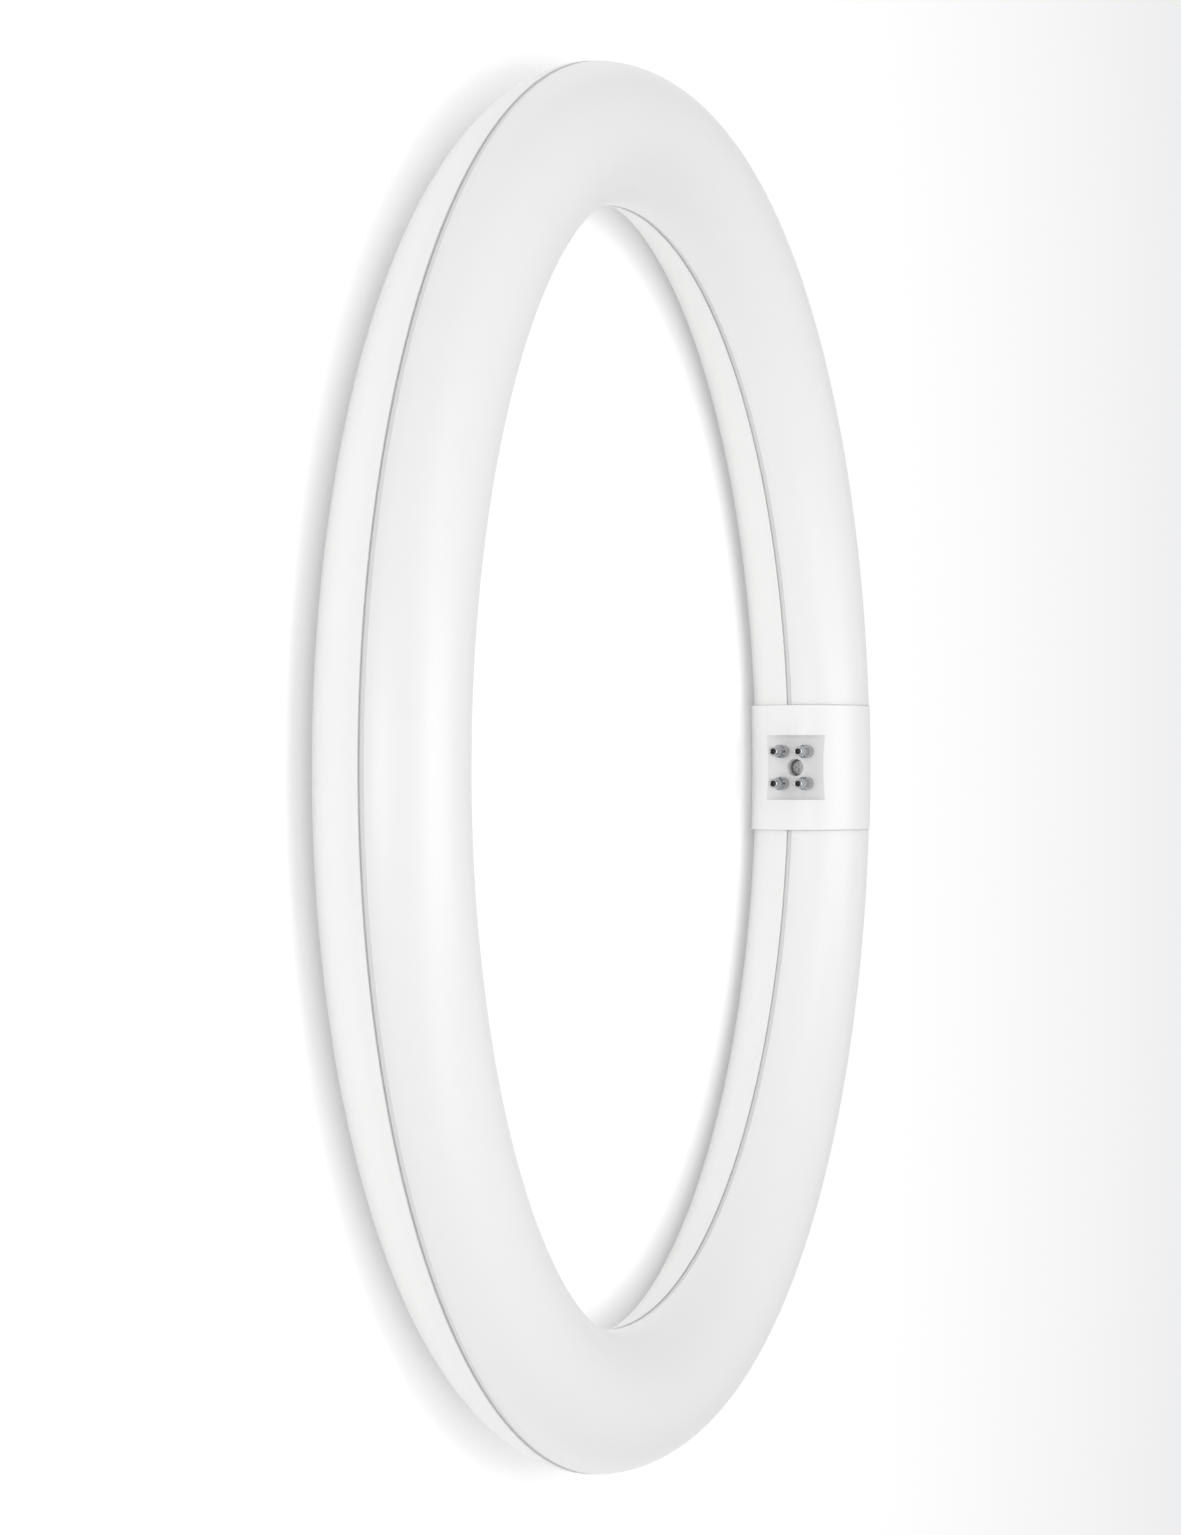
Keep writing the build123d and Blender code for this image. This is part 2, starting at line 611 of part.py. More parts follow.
def pin_lead(number, y, z):
    """Insulated wire from the tail of a pin, past the screw post, to its pad on the driver board."""
    place = PAD_ORDER[number] - (len(PAD_ORDER) - 1) / 2
    side = math.copysign(1, z)
    start = Vector(pin_tail_x, y, mid_z + z)
    points = [start, start + Vector(LEAD_STUB, 0, 0)]
    if y < 0:
        crossing_x = pin_tail_x + LEAD_STUB + LEAD_RADIUS
        over_post = SCREW_RADIUS + POST_WALL + LEAD_RADIUS + LEAD_POST_GAP
        points.append(Vector(crossing_x, LEAD_CROSSING_Y, mid_z + side * over_post))
    mouth = Vector(RING_RADIUS + place * LEAD_BUNDLE, 0, 0)
    mouth = mouth.rotate(Axis.Z, arc_angle(CAP_LENGTH / 2))
    under_board = BOARD_SEAT - LEAD_RADIUS - LEAD_BOARD_GAP - (0 if side > 0 else LEAD_BUNDLE)
    points.append(Vector(mouth.X, mouth.Y, mid_z + under_board))
    pad = Vector(RING_RADIUS + place * LEAD_SPREAD, 0, 0)
    pad = pad.rotate(Axis.Z, driver_start + arc_angle(LEAD_PAD_INSET))
    points.append(Vector(pad.X, pad.Y, mid_z + driver_top + LEAD_DROP))
    points.append(Vector(pad.X, pad.Y, mid_z + driver_top))
    path = FilletPolyline(*points, radius=LEAD_BEND)
    return sweep(Plane(origin=start, z_dir=(1, 0, 0)) * Circle(LEAD_RADIUS), path=path)


def led_lead(offset):
    """Straight wire from the driver board up through the hole in the first LED board."""
    height = board_top + LED_LEAD_PROUD - driver_top
    wire = Cylinder(LED_LEAD_RADIUS, height)
    return on_ring(wire, led_lead_angle, offset, driver_top + height / 2)


def all_parts():
    """Every piece of the lamp under its own name."""
    blank = cap_blank()
    parts = {
        "front_diffuser": front_diffuser(),
        "rear_housing": rear_housing(),
        "cap_base": cap_base(blank),
        "cap_cover": cap_cover(blank),
        "cap_screw": cap_screw(),
        "driver_board": driver_board(),
        "led_lead_positive": led_lead(-LED_LEAD_SPREAD),
        "led_lead_negative": led_lead(LED_LEAD_SPREAD),
    }
    for number, (y, z) in enumerate(pin_places()):
        parts[f"contact_pin_{number + 1}"] = contact_pin(y, z)
        parts[f"pin_lead_{number + 1}"] = pin_lead(number, y, z)
    for index in range(BOARD_COUNT):
        parts[f"led_board_{index + 1}"] = led_board(index)
        parts[f"led_chips_{index + 1}"] = led_chips(index)
    for index in range(BOARD_COUNT - 1):
        parts[f"board_link_{index + 1}"] = board_link(index)
    for part in (
        input_fuse,
        surge_varistor,
        bridge_rectifier,
        film_capacitor,
        filter_choke,
        bulk_capacitor,
        driver_chip,
        freewheel_diode,
        power_inductor,
        output_capacitor,
        sense_resistors,
    ):
        parts[part.__name__] = part()
    return parts


os.makedirs("parts", exist_ok=True)
for name, shape in all_parts().items():
    export_step(shape, f"parts/{name}.step")
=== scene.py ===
import math

import bmesh
import bpy
from mathutils import Matrix, Vector


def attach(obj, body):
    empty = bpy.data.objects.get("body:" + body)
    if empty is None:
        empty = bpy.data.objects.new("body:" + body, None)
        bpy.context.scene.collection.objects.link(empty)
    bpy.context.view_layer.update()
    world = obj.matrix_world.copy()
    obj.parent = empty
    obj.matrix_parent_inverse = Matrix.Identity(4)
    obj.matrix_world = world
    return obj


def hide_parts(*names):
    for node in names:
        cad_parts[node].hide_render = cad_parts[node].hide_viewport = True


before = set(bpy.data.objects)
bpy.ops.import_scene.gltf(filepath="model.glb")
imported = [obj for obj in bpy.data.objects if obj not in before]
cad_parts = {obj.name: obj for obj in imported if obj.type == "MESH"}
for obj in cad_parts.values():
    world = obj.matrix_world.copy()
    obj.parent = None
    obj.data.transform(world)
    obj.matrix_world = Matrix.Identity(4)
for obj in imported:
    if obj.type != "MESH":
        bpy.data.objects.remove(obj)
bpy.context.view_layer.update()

# Rear housing of the ring. The real piece is a half shell injection moulded in white polycarbonate, with thin
# tongues that plug into the diffuser along the seam and ledges inside that carry the boards. Its solid already
# has each of them, so the piece is a merged and smoothed copy of it.

MM_PER_M = 1000.0
SAME_POINT_M = 1e-6        # vertices of a solid's mesh that are nearer than this are one
SAME_POINT_MM = 1e-4       # the same for a drawing in millimetres
MOULDED_EDGE = 25.0        # degrees, below which a bend in a moulding is one of its rounded edges
WAVE_RADIANS = 20.0        # phase that a wave texture at scale 1 runs through in a metre


def merged_copy(node):
    """Copy of a solid's mesh in millimetres, with its loose triangles joined."""
    bm = bmesh.new()
    bm.from_mesh(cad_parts[node].data)
    bmesh.ops.remove_doubles(bm, verts=bm.verts, dist=SAME_POINT_M)
    bmesh.ops.scale(bm, vec=(MM_PER_M, MM_PER_M, MM_PER_M), verts=bm.verts)
    return bm


def finished(bm, name, smooth_below):
    """Turns the drawing into an object in metres, smooth where it bends by less than an angle in degrees."""
    bmesh.ops.remove_doubles(bm, verts=bm.verts, dist=SAME_POINT_MM)
    bmesh.ops.recalc_face_normals(bm, faces=bm.faces)
    bmesh.ops.scale(bm, vec=(1 / MM_PER_M, 1 / MM_PER_M, 1 / MM_PER_M), verts=bm.verts)
    for face in bm.faces:
        face.smooth = True
    for edge in bm.edges:
        edge.smooth = len(edge.link_faces) == 2 and edge.calc_face_angle(0) < math.radians(smooth_below)
    mesh = bpy.data.meshes.new(name)
    bm.to_mesh(mesh)
    bm.free()
    piece = bpy.data.objects.new(name, mesh)
    bpy.context.scene.collection.objects.link(piece)
    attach(piece, "root")
    return piece


def evened(piece):
    """Weights the normals by face area, so that broad faces stay flat beside their rounded edges."""
    even = piece.modifiers.new("even_normals", "WEIGHTED_NORMAL")
    even.keep_sharp = True
    even.weight = 100


def linear(hex_colour):
    """sRGB hex value as a linear colour."""
    parts = [int(hex_colour[i:i + 2], 16) / 255 for i in (1, 3, 5)]
    return [c / 12.92 if c <= 0.04045 else ((c + 0.055) / 1.055) ** 2.4 for c in parts] + [1.0]


def add(tree, kind, feeds=None, **settings):
    """Adds one shader node with its settings. Feeds gives each socket a value or the output that drives it."""
    made = tree.nodes.new(kind)
    for name, value in settings.items():
        setattr(made, name, value)
    for socket, value in (feeds or {}).items():
        if isinstance(value, bpy.types.NodeSocket):
            tree.links.new(value, made.inputs[socket])
        else:
            made.inputs[socket].default_value = value
    return made


def surface(name, light, dark, *, patch_mm, grain_mm, relief_mm, rough, rough_spread, turned=False, **fixed):
    """Material whose colour drifts between two hex values over patches, with a fine grain in relief and sheen.

    A turned surface has the rings of the lathe along X in place of the grain.
    """
    material = bpy.data.materials.new(name)
    material.use_nodes = True
    tree = material.node_tree
    shader = next(item for item in tree.nodes if item.type == "BSDF_PRINCIPLED")
    place = add(tree, "ShaderNodeTexCoord").outputs["Object"]
    patches = {"Vector": place, "Scale": MM_PER_M / patch_mm, "Detail": 3.0}
    drift = add(tree, "ShaderNodeTexNoise", patches).outputs[0]
    # A Mix node takes its two colours at sockets 6 and 7 and gives the mixed one at output 2.
    tint = add(tree, "ShaderNodeMix", {0: drift, 6: linear(light), 7: linear(dark)}, data_type="RGBA")
    tree.links.new(tint.outputs[2], shader.inputs["Base Color"])
    if turned:
        scale = math.tau * MM_PER_M / (WAVE_RADIANS * grain_mm)
        rings = {"Vector": place, "Scale": scale, "Distortion": 1.0, "Detail": 1.0}
        grain = add(tree, "ShaderNodeTexWave", rings).outputs[1]
    else:
        grains = {"Vector": place, "Scale": MM_PER_M / grain_mm, "Detail": 2.0}
        grain = add(tree, "ShaderNodeTexNoise", grains).outputs[0]
    # A Map Range node takes the ends of its new range at sockets 3 and 4.
    span = {0: grain, 3: rough - rough_spread, 4: rough + rough_spread}
    tree.links.new(add(tree, "ShaderNodeMapRange", span).outputs[0], shader.inputs["Roughness"])
    relief = {"Height": grain, "Strength": 1.0, "Distance": relief_mm / MM_PER_M}
    tree.links.new(add(tree, "ShaderNodeBump", relief).outputs[0], shader.inputs["Normal"])
    for socket, value in fixed.items():
        shader.inputs[socket.replace("_", " ")].default_value = value
    return material


# White polycarbonate from a spark-eroded mould: an even satin white whose highlights stay broad. The mould's real
# grain is under a tenth of a millimetre, and is drawn coarser on every moulding here so that it shows.
housing_white = surface(
    "moulded white polycarbonate", "#EFEFEE", "#ECECEC",
    patch_mm=60, grain_mm=0.5, relief_mm=0.002, rough=0.42, rough_spread=0.03, IOR=1.585,
)

rear_housing = finished(merged_copy("rear_housing"), "rear_housing_shell", MOULDED_EDGE)
rear_housing.data.materials.append(housing_white)
evened(rear_housing)
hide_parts("rear_housing")


# Front diffuser. The real piece is an opal polycarbonate half shell, injection moulded, that sits over the
# housing's tongues, with its edge set back in a shallow band above the seam's slit. It is drawn in millimetres
# as a section of joined arcs, which is turned about the ring's axis and cut square beside the cap.

MID_Z = 14.6               # seam's middle plane above the surface that the lamp lies on
RING_RADIUS = 135.0
TUBE_HALF_WIDTH = 15.0
FRONT_DEPTH = 14.75
REAR_DEPTH = 13.95
TIGHTNESS = 0.8            # radius of the side arcs, as a share of the depth
WALL = 1.5
TUBE_CUT = 15.55           # distance from the cap's middle to the tube's ends
HOUSING_EDGE_OUT = 0.15    # edge of the housing above the middle plane on the ring's outer side
HOUSING_EDGE_IN = -1.55
SLIT = 0.4
LAND_HEIGHT = 0.9
LAND_FACE = 14.7
REBATE_FACE = 14.2
REBATE_HEIGHT = 1.9
ARC_STEP = 3.0             # degrees between the points of the section's arcs
SWEEP_START = 3.0          # degrees from the cap's middle, so that the sweep reaches past the tube's ends
SWEEP_STEP = 2.0
CLEAR_OF_CROWN = 2.0       # the cut of one side of the section stays this far from its middle
ON_PLANE = 1e-5            # points that are nearer to a cut than this lie on it
ON_BAND = 0.05             # the same for the middles of the band's faces
SEAM_EDGE = 32.0           # degrees, above which a bend is a step of the seam and stays crisp


def arc(bm, vert, centre, degrees):
    """Carries a vertex round a centre of the section and leaves a chain of edges behind it."""
    turned = bmesh.ops.spin(
        bm, geom=[vert], cent=(centre[0], 0, centre[1]), axis=(0, -1, 0),
        angle=math.radians(degrees), steps=max(1, round(degrees / ARC_STEP)),
    )
    return next(item for item in turned["geom_last"] if isinstance(item, bmesh.types.BMVert))


def tube_oval(bm, inset):
    """Closed section of the tube, drawn in by an inset: tight arcs at the sides and a flatter one across each half."""
    half_width = TUBE_HALF_WIDTH - inset
    start = vert = bm.verts.new((RING_RADIUS + half_width, 0, MID_Z))
    for depth, up in ((FRONT_DEPTH - inset, 1), (REAR_DEPTH - inset, -1)):
        tight = TIGHTNESS * depth
        end = half_width - tight
        slack = depth - tight
        back = (end**2 - slack**2) / (2 * slack)
        side = math.degrees(math.atan2(back, end))
        vert = arc(bm, vert, (RING_RADIUS + up * end, MID_Z), side)
        vert = arc(bm, vert, (RING_RADIUS, MID_Z - up * back), 180 - 2 * side)
        vert = arc(bm, vert, (RING_RADIUS - up * end, MID_Z), side)
    bmesh.ops.pointmerge(bm, verts=[start, vert], merge_co=start.co)


def middle_of(item):
    """Middle of a vertex, edge or face."""
    if isinstance(item, bmesh.types.BMVert):
        return item.co.copy()
    return sum((vert.co for vert in item.verts), Vector()) / len(item.verts)


def trim(bm, point, away, among):
    """Cuts the chosen part of a drawing with a plane and removes what lies on the side that the plane faces."""
    parts = [item for item in (*bm.verts, *bm.edges, *bm.faces) if among(middle_of(item))]
    bmesh.ops.bisect_plane(bm, geom=parts, plane_co=point, plane_no=away, dist=ON_PLANE, clear_outer=True)


def open_end(bm, side):
    """Vertex where a cut section ends on the outer (1) or the inner (-1) side."""
    ends = [vert for vert in bm.verts if len(vert.link_edges) == 1 and side * (vert.co.x - RING_RADIUS) > 0]
    return ends[-1]


def cut_sides(bm, out_level, in_level):
    """Keeps the part of a section above one level on each side of the tube, and gives its two ends."""
    for level, side in ((out_level, 1), (in_level, -1)):
        trim(
            bm, (0, 0, MID_Z + level), (0, 0, -1),
            lambda at: side * (at.x - RING_RADIUS) > CLEAR_OF_CROWN,
        )
    below = [vert for vert in bm.verts if vert.co.z < MID_Z - TUBE_HALF_WIDTH / 2]
    bmesh.ops.delete(bm, geom=below, context="VERTS")
    return {side: open_end(bm, side) for side in (1, -1)}


def chain(bm, vert, points, last):
    """Joins a vertex through further points of the section, each u outwards and v up, and on to the last vertex."""
    for u, v in points:
        new = bm.verts.new((RING_RADIUS + u, 0, MID_Z + v))
        bm.edges.new((vert, new))
        vert = new
    bm.edges.new((vert, last))


def shell_section(bm, levels_outer, levels_inner, outer_points, inner_points):
    """Wall of the half shell: its outer arcs, its inner arcs and the steps of both edges."""
    tube_oval(bm, 0)
    outside = cut_sides(bm, *levels_outer)
    inner = bmesh.new()
    tube_oval(inner, WALL)
    cut_sides(inner, *levels_inner)
    carried = bpy.data.meshes.new("inner_section")
    inner.to_mesh(carried)
    inner.free()
    known = set(bm.verts)
    bm.from_mesh(carried)
    bpy.data.meshes.remove(carried)
    fresh = [vert for vert in bm.verts if vert not in known and len(vert.link_edges) == 1]
    inside = {side: next(vert for vert in fresh if side * (vert.co.x - RING_RADIUS) > 0) for side in (1, -1)}
    for side, points in ((1, outer_points), (-1, inner_points)):
        chain(bm, outside[side], points, inside[side])


def sweep_ring(bm):
    """Turns the section about the ring's axis from one side of the cap to the other."""
    first_turn = Matrix.Rotation(math.radians(SWEEP_START), 3, "Z")
    bmesh.ops.rotate(bm, verts=bm.verts, cent=(0, 0, 0), matrix=first_turn)
    span = 360 - 2 * SWEEP_START
    bmesh.ops.spin(
        bm, geom=bm.verts[:] + bm.edges[:], cent=(0, 0, 0), axis=(0, 0, 1),
        angle=math.radians(span), steps=round(span / SWEEP_STEP),
    )


def square_ends(bm):
    """Cuts both ends of the ring parallel to the cap's middle and closes them."""
    beside_cap = 4 * TUBE_CUT
    for side in (1, -1):
        trim(
            bm, (0, side * TUBE_CUT, 0), (0, -side, 0),
            lambda at: at.x > 0 and 0 < side * at.y < beside_cap,
        )
        rim = [
            edge for edge in bm.edges
            if edge.is_boundary and middle_of(edge).x > 0 and side * middle_of(edge).y > 0
        ]
        bmesh.ops.triangle_fill(bm, use_beauty=True, edges=rim)


# Opal polycarbonate: light spreads a few millimetres inside it, so shading is soft and edges glow.
opal = surface(
    "opal polycarbonate", "#F5F5F5", "#F2F2F2",
    patch_mm=70, grain_mm=0.6, relief_mm=0.0015, rough=0.36, rough_spread=0.03, IOR=1.585,
    Subsurface_Weight=0.35, Subsurface_Scale=0.004, Subsurface_Radius=(1.0, 1.0, 1.0),
)
# The band over the tongue, where the opal wall is thinner, is painted darker grey: painted shade along the seam's
# slit.
opal_band_painted_shade = surface(
    "opal band with painted shade", "#DADADA", "#D6D6D6",
    patch_mm=70, grain_mm=0.6, relief_mm=0.0015, rough=0.4, rough_spread=0.03, IOR=1.585,
)

edge_out = HOUSING_EDGE_OUT + SLIT
edge_in = HOUSING_EDGE_IN + SLIT
land_out = edge_out + LAND_HEIGHT
land_in = edge_in + LAND_HEIGHT
rebate_out = HOUSING_EDGE_OUT + REBATE_HEIGHT
rebate_in = HOUSING_EDGE_IN + REBATE_HEIGHT

bm = bmesh.new()
shell_section(
    bm, (land_out, land_in), (rebate_out, rebate_in),
    [(LAND_FACE, land_out), (LAND_FACE, edge_out), (REBATE_FACE, edge_out), (REBATE_FACE, rebate_out)],
    [(-LAND_FACE, land_in), (-LAND_FACE, edge_in), (-REBATE_FACE, edge_in), (-REBATE_FACE, rebate_in)],
)
sweep_ring(bm)
square_ends(bm)
front_diffuser = finished(bm, "front_diffuser_shell", SEAM_EDGE)
front_diffuser.data.materials.append(opal)
front_diffuser.data.materials.append(opal_band_painted_shade)
# Faces of the band above the slit take the painted shade.
for face in front_diffuser.data.polygons:
    radial = math.hypot(face.center.x, face.center.y) * MM_PER_M - RING_RADIUS
    level = face.center.z * MM_PER_M - MID_Z
    in_painted_shade_band = level < (land_out if radial > 0 else land_in)
    face.material_index = int(in_painted_shade_band and abs(abs(radial) - LAND_FACE) < ON_BAND)
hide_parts("front_diffuser")


# Cap base, the inner half of the cap. The real piece is moulded in white polycarbonate as a hollow sleeve, whose
# spigots plug into the ring's ends, with a flat-floored recess for the lampholder and a deep well for the screw.
# It is drawn from its solid as the housing is, and only the floor and the well get materials of their own: painted
# shade on the floor and painted light on the well's wall.

RECESS_HALF = 8.0
FLOOR_X = 121.0
WELL_RADIUS = 2.15
NEAR = 0.01                # faces this near to a named plane or radius lie on it

# The cap is moulded from the same kind of white polycarbonate, from a finer mould, so it is a little glossier.
cap_white = surface(
    "moulded white cap", "#F0F0EF", "#EDEDED",
    patch_mm=40, grain_mm=0.4, relief_mm=0.0012, rough=0.36, rough_spread=0.03, IOR=1.585,
)
# The recess takes the electrode's rougher finish, and its floor is painted greyer than the cap as painted shade in the
# recess.
recess_painted_shade = surface(
    "rough recess floor with painted shade", "#E6E6E6", "#E2E2E2",
    patch_mm=12, grain_mm=0.5, relief_mm=0.003, rough=0.55, rough_spread=0.04, IOR=1.585,
)
# The well is shaped by a polished core, so its wall is glossy, and it is painted whiter than the cap: painted light in
# the shaded well above the screw's head.
well_painted_light = surface(
    "polished well wall with painted light", "#FDFDFD", "#FBFBFB",
    patch_mm=12, grain_mm=0.5, relief_mm=0.002, rough=0.3, rough_spread=0.04, IOR=1.585,
)

cap_base = finished(merged_copy("cap_base"), "cap_base_moulding", MOULDED_EDGE)
for material in (cap_white, recess_painted_shade, well_painted_light):
    cap_base.data.materials.append(material)
# Faces on the recess floor take its painted shade, and faces in the well take its painted light.
for face in cap_base.data.polygons:
    x, y, z = face.center * MM_PER_M
    on_painted_shade_floor = abs(x - FLOOR_X) < NEAR and abs(y) < RECESS_HALF
    in_painted_light_well = x > FLOOR_X and math.hypot(y, z - MID_Z) < WELL_RADIUS + NEAR
    face.material_index = 1 if on_painted_shade_floor else 2 if in_painted_light_well else 0
evened(cap_base)
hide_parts("cap_base")


# Cap cover, the outer half of the cap. The real piece is moulded in the same white polycarbonate, closes over
# the joint of the ring from outside, and is held by the screw from the recess. It is a copy of its solid.

cap_cover = finished(merged_copy("cap_cover"), "cap_cover_moulding", MOULDED_EDGE)
cap_cover.data.materials.append(cap_white)
evened(cap_cover)
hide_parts("cap_cover")


# Contact pins. Each real pin is turned from brass and nickel plated, with a hollow tip, a coned collar that
# stands on the recess floor, and a riveted shank behind it that carries the wire.

PIN_SPACING_Y = 7.92
PIN_SPACING_Z = 6.35
BORE_RADIUS = 0.72
BORE_BOTTOM = 114.6
BEHIND_BORE = 0.4          # past the bore's bottom, and short of the shank's end
PIN_OUTLINE = (            # X and radius, from the bore's bottom round the tip to the shank's end
    (BORE_BOTTOM, 0), (BORE_BOTTOM, BORE_RADIUS), (112.68, BORE_RADIUS), (112.6, 0.8), (112.6, 0.975),
    (112.66, 1.1), (112.8, 1.175), (116.9, 1.175), (117.02, 1.24), (117.7, 1.6), (117.85, 1.65),
    (120.9, 1.65), (121.0, 1.6), (121.0, 1.3), (122.8, 1.3), (122.8, 1.7), (123.4, 1.6), (123.4, 0.8),
    (126.4, 0.8), (126.4, 0),
)
PIN_LATHE_STEPS = 40
TURNED_EDGE = 28.0         # degrees, below which a bend in a turned piece is one of its rounded edges


def lathe(outline, y, z, steps):
    """Turns an outline of points, each X and radius, about an axis along X."""
    bm = bmesh.new()
    line = [bm.verts.new((x, y + radius, z)) for x, radius in outline]
    for first, second in zip(line, line[1:]):
        bm.edges.new((first, second))
    bmesh.ops.spin(
        bm, geom=bm.verts[:] + bm.edges[:], cent=(0, y, z), axis=(1, 0, 0),
        angle=math.tau, steps=steps, use_merge=True,
    )
    return bm


# Nickel plating over turned brass: a bright grey metal whose sharp reflections are broken by the lathe's rings.
# The real rings are under a tenth of a millimetre apart, and are drawn wider so that they show.
plated = surface(
    "nickel plated turned brass", "#BCBDBF", "#AEAFB1",
    patch_mm=3, grain_mm=0.3, relief_mm=0.003, rough=0.12, rough_spread=0.04, turned=True, Metallic=1.0,
)
# The bore of the pin's tip is dull, and painted darker grey: painted shade inside the bore.
bore_painted_shade = surface(
    "dull pin bore with painted shade", "#77777A", "#6B6B6E",
    patch_mm=1, grain_mm=0.2, relief_mm=0.002, rough=0.5, rough_spread=0.05, Metallic=0.6,
)

pin_places = [
    (y, MID_Z + z)
    for z in (PIN_SPACING_Z / 2, -PIN_SPACING_Z / 2)
    for y in (-PIN_SPACING_Y / 2, PIN_SPACING_Y / 2)
]
for number, (pin_y, pin_z) in enumerate(pin_places, start=1):
    pin = finished(lathe(PIN_OUTLINE, pin_y, pin_z, PIN_LATHE_STEPS), f"contact_pin_turned_{number}", TURNED_EDGE)
    pin.data.materials.append(plated)
    pin.data.materials.append(bore_painted_shade)
    # Faces inside the bore take the painted shade.
    for face in pin.data.polygons:
        x, y, z = face.center * MM_PER_M
        in_shaded_bore = math.hypot(y - pin_y, z - pin_z) < BORE_RADIUS + NEAR and x < BORE_BOTTOM + BEHIND_BORE
        face.material_index = int(in_shaded_bore)
    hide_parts(f"contact_pin_{number}")


# Cap screw. The real piece is a zinc plated pan head screw with a cross recess, sunk in its well, which pulls
# the two halves of the cap together round the ends of the ring.

HEAD_TOP = 124.6
SCREW_OUTLINE = (          # X and radius, from the head's top to the shank's end
    (HEAD_TOP, 0), (HEAD_TOP, 1.45), (124.66, 1.7), (124.85, 1.9), (125.15, 2.0), (126.2, 2.0), (126.2, 1.1),
    (140.0, 1.1), (140.2, 0.9), (140.2, 0),
)
SCREW_LATHE_STEPS = 48
CROSS_REACH = 1.1          # from the head's middle to the end of each arm
CROSS_HALF_WIDTH = 0.3
CROSS_DEPTH = 0.9

# Zinc plating with a clear passivation: a grey metal with a soft, slightly uneven sheen.
zinc = surface(
    "zinc plated steel", "#BEBEBE", "#ACACAD",
    patch_mm=2, grain_mm=0.3, relief_mm=0.003, rough=0.38, rough_spread=0.06, Metallic=1.0,
)

bm = lathe(SCREW_OUTLINE, 0, MID_Z, SCREW_LATHE_STEPS)
bmesh.ops.remove_doubles(bm, verts=bm.verts, dist=SAME_POINT_MM)
head_faces = [face for face in bm.faces if middle_of(face).x < HEAD_TOP + NEAR]
bmesh.ops.delete(bm, geom=head_faces, context="FACES")
cross = bmesh.ops.create_grid(
    bm, x_segments=3, y_segments=3, size=CROSS_REACH,
    matrix=Matrix.Translation((HEAD_TOP, 0, MID_Z)) @ Matrix.Rotation(math.radians(90), 4, "Y"),
)["verts"]
for vert in cross:
    for axis, middle in ((1, 0.0), (2, MID_Z)):
        offset = vert.co[axis] - middle
        if abs(offset) < CROSS_REACH / 2:
            vert.co[axis] = middle + math.copysign(CROSS_HALF_WIDTH, offset)
grid_faces = [face for face in bm.faces if all(vert in cross for vert in face.verts)]
arms = [
    face for face in grid_faces
    if min(abs(middle_of(face).y), abs(middle_of(face).z - MID_Z)) < CROSS_HALF_WIDTH
]
corners = [face for face in grid_faces if face not in arms]
bmesh.ops.delete(bm, geom=corners, context="FACES")
rim = [edge for edge in bm.edges if len(edge.link_faces) < 2 and middle_of(edge).x < HEAD_TOP + NEAR]
bmesh.ops.triangle_fill(bm, use_beauty=True, edges=rim)
sunk = bmesh.ops.extrude_face_region(bm, geom=arms)["geom"]
bmesh.ops.translate(bm, verts=[v for v in sunk if isinstance(v, bmesh.types.BMVert)], vec=(CROSS_DEPTH, 0, 0))
bmesh.ops.delete(bm, geom=arms, context="FACES_ONLY")
cap_screw = finished(bm, "cap_screw_turned", TURNED_EDGE)
cap_screw.data.materials.append(zinc)
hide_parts("cap_screw")


# LED boards. The four real boards are curved strips punched from aluminium sheet with a white solder mask, which
# lie on the housing's ledges with their chips facing the diffuser.


def dress(names, material):
    """Gives solids of the model their material."""
    for name in names:
        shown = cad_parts[name].data
        shown.materials.clear()
        shown.materials.append(material)


# Solder mask: a thin cured ink, so the white is even and a little glossy.
solder_mask = surface(
    "white solder mask", "#F3F3EF", "#ECECE8",
    patch_mm=25, grain_mm=0.4, relief_mm=0.002, rough=0.3, rough_spread=0.04, IOR=1.52,
)
dress([f"led_board_{i}" for i in range(1, 5)], solder_mask)


# LED packages. Each real one is a thermoset frame filled with yellow phosphor in silicone, and twenty of them
# are soldered in a row down the middle of each board.

# Phosphor in silicone: a warm yellow with a wet sheen, slightly cloudy from one package to the next.
phosphor = surface(
    "phosphor in silicone", "#E8C650", "#DDB83E",
    patch_mm=3, grain_mm=0.2, relief_mm=0.002, rough=0.25, rough_spread=0.05, IOR=1.41,
)
dress([f"led_chips_{i}" for i in range(1, 5)], phosphor)


# Board links. The real ones are nylon connectors, moulded without pigment, that bridge the ends of two
# neighbouring boards and carry the current over.

# Natural nylon: creamy and slightly uneven, with the dull sheen of a small mould.
nylon = surface(
    "natural nylon", "#E9E5D8", "#DFDACB",
    patch_mm=5, grain_mm=0.3, relief_mm=0.002, rough=0.45, rough_spread=0.05, IOR=1.53,
)
dress([f"board_link_{i}" for i in range(1, 4)], nylon)


# Driver board. The real one is glass cloth pressed with epoxy, milled to the curve of the ring and laid on its
# own ledges under the LED boards, beside the cap.

# Green solder mask: the weave of the cloth shows faintly as darker and lighter patches.
green_mask = surface(
    "green solder mask", "#1F6B3C", "#195C33",
    patch_mm=8, grain_mm=0.6, relief_mm=0.004, rough=0.28, rough_spread=0.05, IOR=1.52,
)
dress(["driver_board"], green_mask)


# Rectifier, control chip, diode and sense resistors. The real ones are small packages transfer moulded in black
# epoxy and soldered flat to the driver board.

# Moulded epoxy: a dull charcoal with the fine grain of its filler.
black_epoxy = surface(
    "black moulded epoxy", "#242426", "#1C1C1E",
    patch_mm=2, grain_mm=0.2, relief_mm=0.003, rough=0.5, rough_spread=0.05, IOR=1.55,
)
dress(["bridge_rectifier", "driver_chip", "freewheel_diode", "sense_resistors"], black_epoxy)


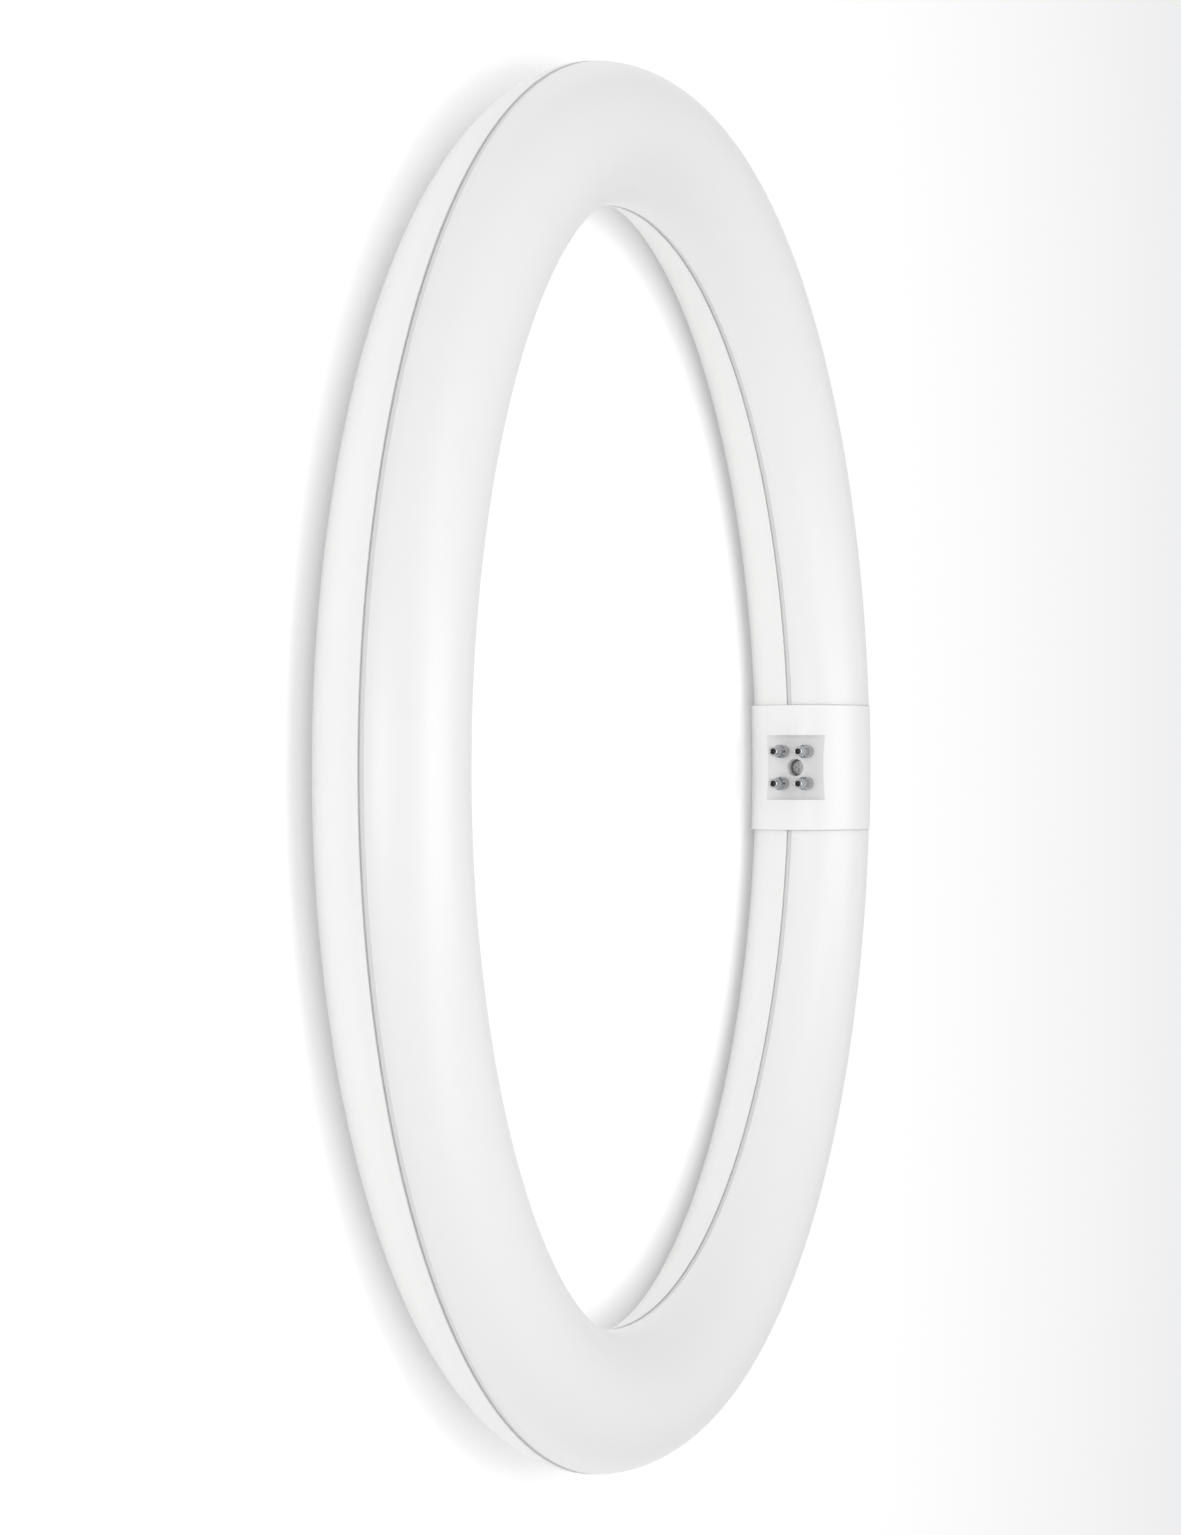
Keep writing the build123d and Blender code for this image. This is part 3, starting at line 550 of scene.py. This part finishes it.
# Input fuse. The real one is a wire wound on a ceramic rod, dipped in a tan coating, which lies first in line
# behind the wires from the pins.

# Coated ceramic: tan and matt, with a slightly lumpy dipped skin.
coated_ceramic = surface(
    "coated ceramic", "#CFC4A2", "#C1B592",
    patch_mm=3, grain_mm=0.3, relief_mm=0.003, rough=0.5, rough_spread=0.06, IOR=1.55,
)
dress(["input_fuse"], coated_ceramic)


# Surge varistor. The real one is a pressed and fired disc of zinc oxide, dipped in blue epoxy and laid flat
# beside the fuse.

# Dipped epoxy: a deep blue that pools into a glossy, wavy skin.
blue_epoxy = surface(
    "dipped blue epoxy", "#2C4F94", "#254481",
    patch_mm=3, grain_mm=0.5, relief_mm=0.006, rough=0.3, rough_spread=0.06, IOR=1.55,
)
dress(["surge_varistor"], blue_epoxy)


# Film capacitor. The real one is a wound film block potted with resin in a moulded yellow case, which stands
# across the driver board.

# Flame-proofed polyester: an even yellow with a soft gloss.
yellow_case = surface(
    "yellow capacitor case", "#DDAF2B", "#D0A122",
    patch_mm=6, grain_mm=0.3, relief_mm=0.002, rough=0.32, rough_spread=0.04, IOR=1.53,
)
dress(["film_capacitor"], yellow_case)


# Bulk and output capacitors. The real ones are drawn aluminium cans in a shrunk sleeve, which lie on their sides
# to fit under the LED boards.

# Shrunk sleeve: a thin near-black film, drawn tight and fairly glossy.
dark_sleeve = surface(
    "shrunk dark sleeve", "#20222B", "#1A1C24",
    patch_mm=5, grain_mm=0.4, relief_mm=0.002, rough=0.27, rough_spread=0.05, IOR=1.54,
)
dress(["bulk_capacitor", "output_capacitor"], dark_sleeve)


# Filter choke and power inductor. The real ones are pressed and sintered ferrite cores round copper windings,
# lacquered and glued to the driver board.

# Lacquered ferrite: dark grey and finely pitted under a thin dull coat.
ferrite = surface(
    "lacquered ferrite", "#34343A", "#2B2B30",
    patch_mm=2, grain_mm=0.3, relief_mm=0.005, rough=0.48, rough_spread=0.08, IOR=1.6,
)
dress(["filter_choke", "power_inductor"], ferrite)


# Wires. The real ones are copper strands in white silicone: four run from the tails of the pins past the screw's
# post to the driver board, and two go up through the first LED board.

# Extruded silicone: a soft white without gloss.
insulation = surface(
    "white silicone insulation", "#E4E3DF", "#DAD9D4",
    patch_mm=5, grain_mm=0.3, relief_mm=0.002, rough=0.5, rough_spread=0.05, IOR=1.43,
)
dress([f"pin_lead_{i}" for i in range(1, 5)] + ["led_lead_positive", "led_lead_negative"], insulation)


# Floor. A pale matt acrylic sheet, lit evenly from below, on which the lamp lies with its back down, as it comes
# to rest. It is so wide that no view shows its edge.

FLOOR_REACH = 20.0         # metres from its middle to each edge
WHITE = (1.0, 1.0, 1.0, 1.0)

bm = bmesh.new()
bmesh.ops.create_grid(bm, x_segments=1, y_segments=1, size=FLOOR_REACH)
mesh = bpy.data.meshes.new("pale_floor")
bm.to_mesh(mesh)
bm.free()
pale_floor = bpy.data.objects.new("pale_floor", mesh)
bpy.context.scene.collection.objects.link(pale_floor)
# Matt acrylic: a white without gloss, whose faint glow keeps the lamp's shadow light.
pale_floor.data.materials.append(surface(
    "lit matt acrylic sheet", "#FCFCFC", "#FAFAFA",
    patch_mm=300, grain_mm=2.0, relief_mm=0.01, rough=0.8, rough_spread=0.04,
    Specular_IOR_Level=0.2, Emission_Color=WHITE, Emission_Strength=0.15,
))


# Light. An even pale room with two soft panels overhead, one of them long, and a low one in front that reaches
# the recess and the inner side of the ring.

ROOM_STRENGTH = 0.58

scene = bpy.context.scene
scene.view_settings.view_transform = "Standard"
world = bpy.data.worlds.new("pale_room")
world.use_nodes = True
room = world.node_tree.nodes["Background"]
room.inputs["Color"].default_value = WHITE
room.inputs["Strength"].default_value = ROOM_STRENGTH
scene.world = world


def panel(name, place, width, height, watts):
    """Soft rectangular light that faces the middle of the lamp."""
    light = bpy.data.lights.new(name, "AREA")
    light.shape = "RECTANGLE"
    light.size = width
    light.size_y = height
    light.energy = watts
    holder = bpy.data.objects.new(name, light)
    holder.location = place
    to_lamp = Vector((0.0, 0.0, 0.0)) - Vector(place)
    holder.rotation_euler = to_lamp.to_track_quat("-Z", "Y").to_euler()
    scene.collection.objects.link(holder)


panel("overhead_panel", (0.0, 0.0, 1.1), width=0.7, height=0.5, watts=2.4)
panel("long_panel", (-0.3, 0.0, 0.8), width=1.6, height=0.3, watts=2.2)
panel("front_panel", (-2.6, 0.0, 0.6), width=1.0, height=1.0, watts=9.5)


# Camera. A long lens on the side of the ring opposite the cap, about 20 degrees above the floor and rolled a
# quarter turn, so that the ring stands upright in the picture as it does in the photograph.

LENS = 83.2
SENSOR_WIDTH = 36.0
CAMERA_PLACE = (-0.7235, 0.0, 0.2653)

camera_data = bpy.data.cameras.new("photograph_view")
camera_data.sensor_width = SENSOR_WIDTH
camera_data.lens = LENS
camera = bpy.data.objects.new("photograph_view", camera_data)
right = Vector((0.3393, 0.0, 0.9407))
up = Vector((0.0, 1.0, 0.0))
turn = Matrix((right, up, right.cross(up))).transposed()
camera.matrix_world = Matrix.Translation(CAMERA_PLACE) @ turn.to_4x4()
scene.collection.objects.link(camera)
scene.camera = camera
